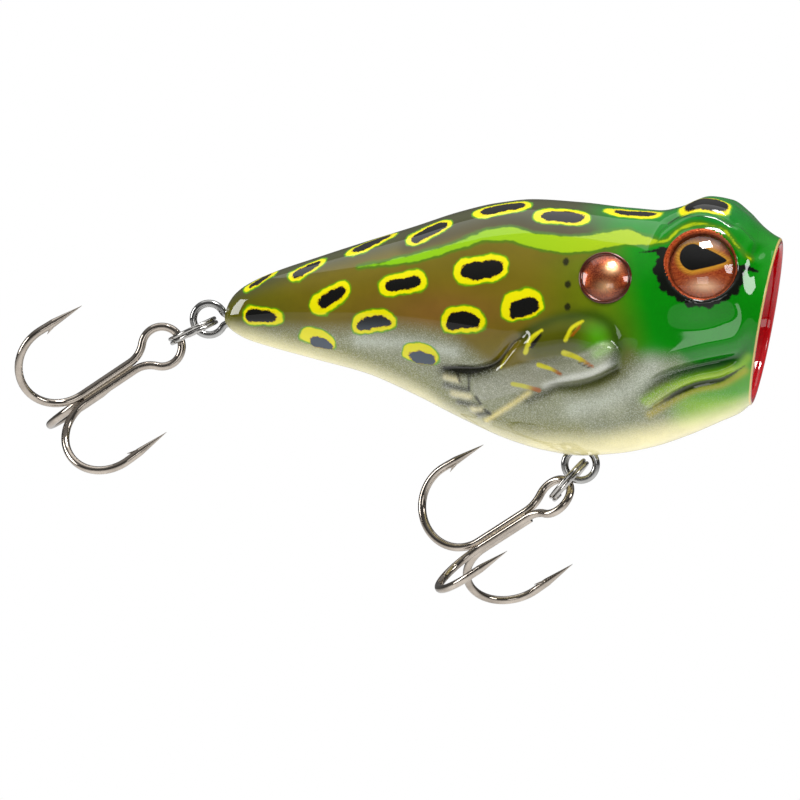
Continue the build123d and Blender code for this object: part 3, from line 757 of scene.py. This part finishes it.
def body_paint():
    """The shell's coat: airbrushed colours with pearl flake, the frog's pattern, and the red mouth."""
    n = Nodes("painted_shell_coat")
    colour = n.attribute("coat", "Color")
    cloud = n.math("MULTIPLY", n.math("SUBTRACT", n.noise(CLOUDS, 4.0, 0.6), 0.4), 0.5, True)
    colour = n.mix(cloud, colour, rgb(70, 66, 20), "MULTIPLY")
    wobble = n.math("ADD", n.waver(SWELLS, 1.1), n.waver(RIPPLES, 0.5))
    ragged = n.waver(RAGS, 0.5, 0.6)
    flake = n.attribute("flake")
    glint = n.math("MULTIPLY", flake, n.math("GREATER_THAN", n.specks(GLINTS), 0.7))
    colour = n.lay(colour, rgb(226, 228, 218), glint, 0.2)
    shade = n.math("MULTIPLY", flake, n.math("GREATER_THAN", n.specks(GRAINS, "Green"), 0.66))
    colour = n.lay(colour, rgb(66, 70, 50), shade, 0.2)
    # stripe along the back's edge, lime with a darker green edge, yellower towards the head
    stripe = n.plus(n.attribute("stripe"), wobble, 0.5)
    colour = n.lay(colour, rgb(60, 110, 0), n.below(stripe, 0.2, 0.2), 0.8)
    lime = n.mix(n.attribute("along"), rgb(112, 176, 0), rgb(158, 174, 0))
    colour = n.mix(n.below(stripe, -0.06, 0.10), colour, lime)
    # spots: green fringe, yellow ring, orange inner edge, dark core
    low = n.attribute("low")
    ring = n.plus(n.attribute("ring"), wobble, 0.75)
    core = n.math("ADD", n.attribute("core"), n.plus(n.math("MULTIPLY", wobble, 0.8), ragged, 0.8))
    colour = n.mix(n.below(ring, 0.06, 0.14), colour, rgb(84, 150, 0))
    yellow = n.lay(rgb(216, 208, 0), rgb(164, 166, 10), low, 0.6)
    colour = n.mix(n.below(ring, -0.1, 0.10), colour, yellow)
    colour = n.lay(colour, rgb(150, 96, 0), n.below(core, 0.08, 0.08), 0.6)
    slate = n.mix(n.math("MULTIPLY", flake, 0.9, True), rgb(14, 14, 12), rgb(58, 70, 84))
    colour = n.mix(n.below(core, 0.0, 0.06), colour, slate)
    # leg marks, dark lines (the one along the leg's crease is painted shadow), the eye's dark band
    mark = n.plus(n.attribute("mark"), wobble, 0.2)
    colour = n.mix(n.below(mark, 0.0, 0.12), colour, n.attribute("mark_colour", "Color"))
    lines = n.plus(n.attribute("dark"), ragged, 0.4)
    colour = n.lay(colour, rgb(20, 20, 8), n.below(lines, 0.02, 0.14), 0.9)
    lash = n.plus(n.attribute("lash"), ragged, 0.8)
    colour = n.mix(n.below(lash, 0.0, 0.12), colour, rgb(8, 12, 6))
    # mouth: cream rim line, red cup
    mouth = n.attribute("mouth")
    rim = n.below(n.math("ABSOLUTE", n.math("ADD", mouth, 1.6)), 1.3, 0.8)
    colour = n.lay(colour, rgb(226, 186, 120), rim, 0.85)
    red = n.mix(low, rgb(176, 0, 10), rgb(206, 34, 42))
    inside = n.math("SUBTRACT", 1.0, n.below(mouth, 0.0, 0.6))
    colour = n.mix(inside, colour, red)
    rough = n.plus(0.42, n.noise(700.0), 0.12)
    return n.finish(
        Base_Color=colour, Metallic=n.math("MULTIPLY", flake, 0.3), Roughness=rough,
        Specular_IOR_Level=0.0, Coat_Weight=1.0, Coat_Roughness=0.035, Coat_IOR=FILM_IOR,
        Normal=n.bump(n.noise(SWELLS, 2.0), 0.04, 0.0003),
    )


IRIS_RING = 3.52


def copper(name, iris):
    """Metallic copper with painted highlights. The ear's has a clear film and a dark edge; the iris has
    gold fibres and a pupil.
    """
    n = Nodes(name)
    radius, glow = n.attribute("radius"), n.attribute("glow")
    deep, bright = (rgb(140, 44, 14), rgb(228, 116, 56)) if iris else (rgb(104, 30, 8), rgb(200, 98, 48))
    colour = n.mix(n.specks(COPPER_SPECKS), deep, bright)
    colour = n.lay(colour, deep, n.noise(COPPER_CLOUDS, 4.0, 0.7), 0.8)
    if iris:
        pupil, fibres = n.attribute("pupil"), n.attribute("fibres")
        colour = n.lay(colour, rgb(96, 30, 12), fibres, 0.5)
        # painted highlight: pale copper where light gathers in the iris
        colour = n.lay(colour, rgb(255, 214, 176), glow, 0.7)
        gold = n.lay(rgb(226, 166, 52), rgb(150, 84, 16), fibres, 0.6)
        colour = n.mix(n.below(pupil, 0.42, 0.34), colour, gold)
        groove = n.below(n.math("ABSOLUTE", n.math("SUBTRACT", radius, IRIS_RING)), 0.16, 0.2)
        colour = n.lay(colour, rgb(52, 16, 6), groove, 0.85)
        inside = n.below(pupil, 0.0, 0.05)
        colour = n.mix(inside, colour, rgb(3, 3, 3))
        metallic = n.math("MULTIPLY", n.math("SUBTRACT", 1.0, inside), 0.25)
    else:
        edge = n.math("SUBTRACT", 1.0, n.below(radius, 2.25, 0.5))
        colour = n.lay(colour, rgb(66, 22, 8), edge, 0.9)
        # painted highlight: pale copper where light gathers on the ear disc
        colour = n.lay(colour, rgb(255, 206, 150), glow, 0.8)
        metallic = 0.8
    return n.finish(
        Base_Color=colour, Metallic=metallic, Roughness=0.34, Specular_IOR_Level=0.1,
        Coat_Weight=0.0 if iris else 1.0, Coat_Roughness=0.03, Coat_IOR=FILM_IOR,
        Normal=n.bump(n.noise(COPPER_BUMPS, 2.0), 0.2, 0.0001),
    )


def clear_dome():
    """Clear film: light passes straight through, and only the outer faces mirror, most at a glance."""
    n = Nodes("eye_lens_clear")
    n.tree.nodes.remove(n.shader)
    straight = n.node("ShaderNodeBsdfTransparent", Color=(0.97, 0.97, 0.96))
    faint = n.bump(n.noise(900.0, 2.0), 0.02, 0.0002)
    mirror = n.node("ShaderNodeBsdfGlossy", Color=(1.0, 1.0, 1.0), Roughness=0.02, Normal=faint)
    outer = n.math("SUBTRACT", 1.0, n.node("ShaderNodeNewGeometry", "Backfacing"))
    share = n.math("MULTIPLY", n.node("ShaderNodeFresnel", IOR=FILM_IOR, Normal=faint), outer)
    both = n.tree.nodes.new("ShaderNodeMixShader")
    for socket, value in zip(both.inputs, (share, straight, mirror)):
        n.put(socket, value)
    n.tree.links.new(both.outputs[0], n.tree.nodes["Material Output"].inputs["Surface"])
    return n.material


ROUGHNESS_SPREAD, BUMP_FINENESS = 0.9, 1.7


def metal(name, light, dark, rough, grain, clouding):
    """Plated or drawn metal: faint clouding, fine scratches in roughness and a slight bump."""
    n = Nodes(name)
    return n.finish(
        Base_Color=n.lay(light, dark, n.noise(METAL_CLOUDS, 4.0, 0.6), clouding), Metallic=1.0,
        Roughness=n.plus(rough, n.noise(grain, 3.0), rough * ROUGHNESS_SPREAD),
        Normal=n.bump(n.noise(grain * BUMP_FINENESS, 2.0), 0.06, 0.00005),
    )


# ---------------------------------------------------------------- pieces
LATHE_SEGMENTS = 144


def lathe(name, centre, out, profile, turn, fields=None, ripple=None):
    """Turned piece about a line on the flank; profile is (radius, height off the seat)."""
    p = np.array(profile, float)
    radius, height = p[:, :1], p[:, 1:]
    angle = np.linspace(0, 2 * math.pi, LATHE_SEGMENTS, endpoint=False)
    height = height + (ripple(radius, angle) if ripple else 0 * angle)
    u, v = radius * np.cos(angle), radius * np.sin(angle)
    ahead, up = across(out)
    grid = centre + u[..., None] * ahead + v[..., None] * up + height[..., None] * out
    index = np.arange(len(p) * LATHE_SEGMENTS).reshape(len(p), LATHE_SEGMENTS)
    after = np.roll(index, -1, axis=1)
    quads = np.stack([index[:-1], index[1:], after[1:], after[:-1]], -1).reshape(-1, 4)
    values = {"radius": np.broadcast_to(radius, u.shape)}
    if fields:
        values.update(fields(u, v, angle))
    obj = make_object(name, to_metres(grid, turn), quads.tolist(), values)
    close_up(obj, DISC_WELD)
    return obj


PUPIL = [(-0.95, 1.05, 1.5), (2.6, 0.8, 0.03)]  # place and radius of its round end and of its point
FIBRES, FIBRE_WAVES = 61, 13


def iris_fields(u, v, angle):
    """Signed distance to the pupil, the iris's fibres, and the painted highlight where light gathers in it.
    """
    (ax, ay, ar), (bx, by, br) = PUPIL
    dx, dy = bx - ax, by - ay
    t = np.clip(((u - ax) * dx + (v - ay) * dy) / (dx * dx + dy * dy), 0, 1)
    pupil = np.hypot(u - ax - t * dx, v - ay - t * dy) - (ar * (1 - t) ** 0.75 + br * t)
    fibres = 0.5 + 0.5 * np.sin(np.broadcast_to(angle, u.shape) * FIBRES + 2 * np.sin(angle * FIBRE_WAVES))
    glow = bell(u - 0.3, 1.5) * bell(v + 2.1, 0.7) + 0.8 * bell(u - 0.7, 1.5) * bell(v - 2.4, 0.7)
    return {"pupil": pupil, "fibres": fibres, "glow": glow}


def ear_fields(u, v, _):
    """Where the painted highlight gathers in the ear disc."""
    return {"glow": bell(u - 0.7, 0.75) * bell(v - 0.8, 0.6) + 0.7 * bell(u, 0.9) * bell(v + 1.1, 0.6)}


BEADS, BEAD_RISE, BEAD_RADIUS, BEAD_WIDTH = 60, 0.09, 4.02, 0.13


def beads(radius, angle):
    """Ring of small beads on the eye's rim."""
    return BEAD_RISE * np.cos(angle * BEADS) * bell(radius - BEAD_RADIUS, BEAD_WIDTH)


def arc(centre, radius, start, end, count):
    """Points on a circle between two angles in degrees."""
    a = np.radians(np.linspace(start, end, count))
    return [(centre[0] + radius * math.cos(t), centre[1] + radius * math.sin(t)) for t in a]


def dome(radius, edge, rise, count):
    """Profile of a spherical cap from its middle to its edge."""
    ball = (radius**2 + rise**2) / (2 * rise)
    turns = np.linspace(0, math.asin(radius / ball), count)
    return [(ball * math.sin(t), edge + rise - ball + ball * math.cos(t)) for t in turns]


IRIS_HEIGHT, IRIS_FALL, IRIS_INNER = 1.05, 0.2, 0.06
RIM_MIDDLE, RIM_ROUND, RIM_FOOT = (3.86, 1.25), 0.34, 0.9
LENS_RADIUS, LENS_EDGE, LENS_RISE = 3.56, 1.22, 0.95
EAR_CAP_RADIUS, EAR_CAP_EDGE, EAR_CAP_RISE = 2.45, 1.05, 0.75
EAR_RIM_MIDDLE, EAR_RIM_ROUND, EAR_RIM_FOOT = (2.68, 0.96), 0.2, 0.6


def eye(side, turn):
    """Eye disc with a domed iris and a beaded rim, and the clear dome over it."""
    radii = np.linspace(IRIS_INNER, IRIS_RADIUS, 44)
    iris = [(0.0, IRIS_HEIGHT)] + [(r, IRIS_HEIGHT - IRIS_FALL * (r / IRIS_RADIUS) ** 2) for r in radii]
    rim = arc(RIM_MIDDLE, RIM_ROUND, 195, 0, 18) + [(EYE_RADIUS, RIM_FOOT), (EYE_RADIUS, 0.0), (0.0, 0.0)]
    disc = lathe(f"eye_{side}", EYE_CENTRE, EYE_OUT, iris + rim, turn, iris_fields, beads)
    film = dome(LENS_RADIUS, LENS_EDGE, LENS_RISE, 30) + [(IRIS_RADIUS, 1.0), (0.0, 1.07)]
    lens = lathe(f"eye_dome_{side}", EYE_CENTRE, EYE_OUT, film, turn)
    return disc, lens


def ear(side, turn):
    """Ear disc with a domed face and a rounded rim."""
    face = dome(EAR_CAP_RADIUS, EAR_CAP_EDGE, EAR_CAP_RISE, 26)
    rim = arc(EAR_RIM_MIDDLE, EAR_RIM_ROUND, 160, 0, 8)
    foot = [(EAR_RADIUS, EAR_RIM_FOOT), (EAR_RADIUS, 0.0), (0.0, 0.0)]
    return lathe(f"ear_{side}", EAR_CENTRE, EAR_OUT, face + rim + foot, turn, ear_fields)


def dress(obj, material):
    """Gives an object one material."""
    obj.data.materials.clear()
    obj.data.materials.append(material)


coat = body_paint()
iris_material = copper("copper_iris", True)
ear_material = copper("copper_ear_disc", False)
lens_material = clear_dome()
for side, turn in (("right", -1), ("left", 1)):
    shell = half_shell(f"shell_{side}", turn)
    dress(shell, coat)
    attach(shell, "lure")
    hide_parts(f"body_shell_{side}")
    disc, lens = eye(side, turn)
    dress(disc, iris_material)
    dress(lens, lens_material)
    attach(disc, "lure")
    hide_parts(f"eye_disc_{side}")
    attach(lens, "lure")
    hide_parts(f"eye_lens_{side}")
    disc = ear(side, turn)
    dress(disc, ear_material)
    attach(disc, "lure")
    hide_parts(f"ear_disc_{side}")

METALS = {  # part of the node's name: name of the finish, light and dark colour, roughness, grain, clouding
    "hanger_wire": ("hanger_stainless", rgb(186, 186, 184), rgb(84, 82, 78), 0.09, 2600.0, 0.8),
    "tie_wire": ("line_tie_stainless", rgb(200, 200, 198), rgb(140, 138, 134), 0.12, 2600.0, 0.5),
    "split_ring": ("ring_nickel", rgb(196, 194, 190), rgb(84, 80, 76), 0.07, 2600.0, 0.8),
    "hook": ("hook_nickel", rgb(204, 194, 182), rgb(66, 56, 48), 0.06, 2600.0, 0.9),
    "braze": ("silver_braze", rgb(190, 178, 158), rgb(130, 110, 88), 0.28, 1800.0, 0.6),
    "weight": ("weight_cast", rgb(120, 118, 116), rgb(70, 68, 66), 0.5, 900.0, 0.8),
    "ball": ("ball_polished", rgb(200, 200, 200), rgb(160, 160, 160), 0.08, 2600.0, 0.3),
}
finishes = {key: metal(*values) for key, values in METALS.items()}
for node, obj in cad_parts.items():
    kind = next((key for key in METALS if key in node), None)
    if kind:
        dress(obj, finishes[kind])


# ---------------------------------------------------------------- floor, light and camera
ROOM_LIGHT, WALL_LIGHT, CEILING_LIGHT = 0.10, 0.05, 0.35


def world_light():
    """White to the eye. The lure reflects a dim room, a lighter wall behind it and a bright ceiling."""
    world = bpy.data.worlds.new("studio")
    bpy.context.scene.world = world
    world.use_nodes = True
    tree = world.node_tree
    tree.nodes.clear()

    def node(kind, **inputs):
        n = tree.nodes.new(kind)
        for key, value in inputs.items():
            socket = n.inputs[int(key[1:])] if key[0] == "_" else n.inputs[key.replace("_", " ")]
            if isinstance(value, bpy.types.NodeSocket):
                tree.links.new(value, socket)
            else:
                socket.default_value = value
        return n

    def step(value, low, high, amount):
        n = node("ShaderNodeMapRange", Value=value, From_Min=low, From_Max=high, To_Min=0.0, To_Max=amount)
        n.interpolation_type = "SMOOTHSTEP"
        return n.outputs["Result"]

    way = node("ShaderNodeSeparateXYZ", _0=node("ShaderNodeTexCoord").outputs["Generated"])
    behind = step(way.outputs["Y"], -0.1, 0.7, WALL_LIGHT)
    above = step(way.outputs["Z"], 0.35, 0.95, CEILING_LIGHT)
    strength = node("ShaderNodeMath", _0=behind, _1=above)
    strength = node("ShaderNodeMath", _0=strength.outputs[0], _1=ROOM_LIGHT)
    room = node("ShaderNodeBackground", Color=(1, 1, 1, 1), Strength=strength.outputs[0])
    plain = node("ShaderNodeBackground", Color=(1, 1, 1, 1), Strength=1.0)
    camera_ray = node("ShaderNodeLightPath").outputs["Is Camera Ray"]
    both = node("ShaderNodeMixShader", _0=camera_ray, _1=room.outputs[0], _2=plain.outputs[0])
    node("ShaderNodeOutputWorld", Surface=both.outputs[0])


# Softboxes: place from the lure's middle and size in metres, and power in watts
SOFTBOXES = {
    "top_softbox": ((0.0, 0.02, 0.40), (0.50, 0.30), 0.6),
    "key_softbox": ((0.10, -0.15, 0.41), (0.13, 0.10), 1.6),
    "front_softbox": ((0.10, -0.46, 0.04), (0.16, 0.10), 0.14),
    "left_softbox": ((-0.42, -0.14, 0.14), (0.14, 0.24), 1.1),
    "right_softbox": ((0.38, -0.20, 0.16), (0.14, 0.10), 0.5),
    "low_softbox": ((0.04, -0.24, -0.28), (0.30, 0.10), 0.6),
}
low, high = cad_box
middle = Vector([(a + b) / 2 for a, b in zip(low, high)])
world_light()
for name, (away, span, power) in SOFTBOXES.items():
    light = bpy.data.lights.new(name, "AREA")
    light.shape = "RECTANGLE"
    light.size, light.size_y = span
    light.energy = power
    lamp = bpy.data.objects.new(name, light)
    lamp.location = middle + Vector(away)
    lamp.rotation_euler = (middle - lamp.location).to_track_quat("-Z", "Y").to_euler()
    bpy.context.scene.collection.objects.link(lamp)

FLOOR_DROP, FLOOR_REACH = 0.16, 2.0
floor_mesh = bpy.data.meshes.new("floor")
floor_z = low[2] - FLOOR_DROP
corners = [(x * FLOOR_REACH, y * FLOOR_REACH, floor_z) for x, y in ((-1, -1), (1, -1), (1, 1), (-1, 1))]
floor_mesh.from_pydata(corners, [], [(0, 1, 2, 3)])
floor = bpy.data.objects.new("floor", floor_mesh)
bpy.context.scene.collection.objects.link(floor)
# The floor glows faintly and evenly, with a painted pool of light, a little brighter, wide under the lure
FLOOR_GLOW, LIGHT_POOL_GLOW, POOL_REACH, POOL_SOFTNESS = 0.3, 0.16, 0.4, 0.35
pale = Nodes("floor_pale")
spot = pale.node("ShaderNodeTexCoord", "Object")
from_middle = pale.node("ShaderNodeVectorMath", "Value", {"operation": "LENGTH"}, Vector=spot)
glow = pale.plus(FLOOR_GLOW, pale.below(from_middle, POOL_REACH, POOL_SOFTNESS), LIGHT_POOL_GLOW)
dress(floor, pale.finish(
    Base_Color=rgb(240, 240, 240), Roughness=0.7, Emission_Color=(1.0, 1.0, 1.0), Emission_Strength=glow
))

AZIMUTH, ELEVATION = math.radians(6.0), math.radians(2.5)
DISTANCE, FIELD, NEAREST = 3.0, 0.0860, 0.01  # metres
SENSOR_WIDTH = 36.0  # millimetres
AIM_FROM_TAIL, AIM_FROM_DATUM = 18.9, -8.06
aim = Vector(ORIGIN + np.array([AIM_FROM_TAIL, 0, AIM_FROM_DATUM]) * MM)
camera_data = bpy.data.cameras.new("camera")
camera = bpy.data.objects.new("camera", camera_data)
bpy.context.scene.collection.objects.link(camera)
toward = Vector((
    math.sin(AZIMUTH) * math.cos(ELEVATION), -math.cos(AZIMUTH) * math.cos(ELEVATION), math.sin(ELEVATION)
))
camera.location = aim + toward * DISTANCE
camera.rotation_euler = (-toward).to_track_quat("-Z", "Y").to_euler()
camera_data.sensor_width = SENSOR_WIDTH
camera_data.lens = SENSOR_WIDTH * DISTANCE / FIELD
camera_data.clip_start = NEAREST
bpy.context.scene.camera = camera
bpy.context.scene.view_settings.view_transform = "Standard"
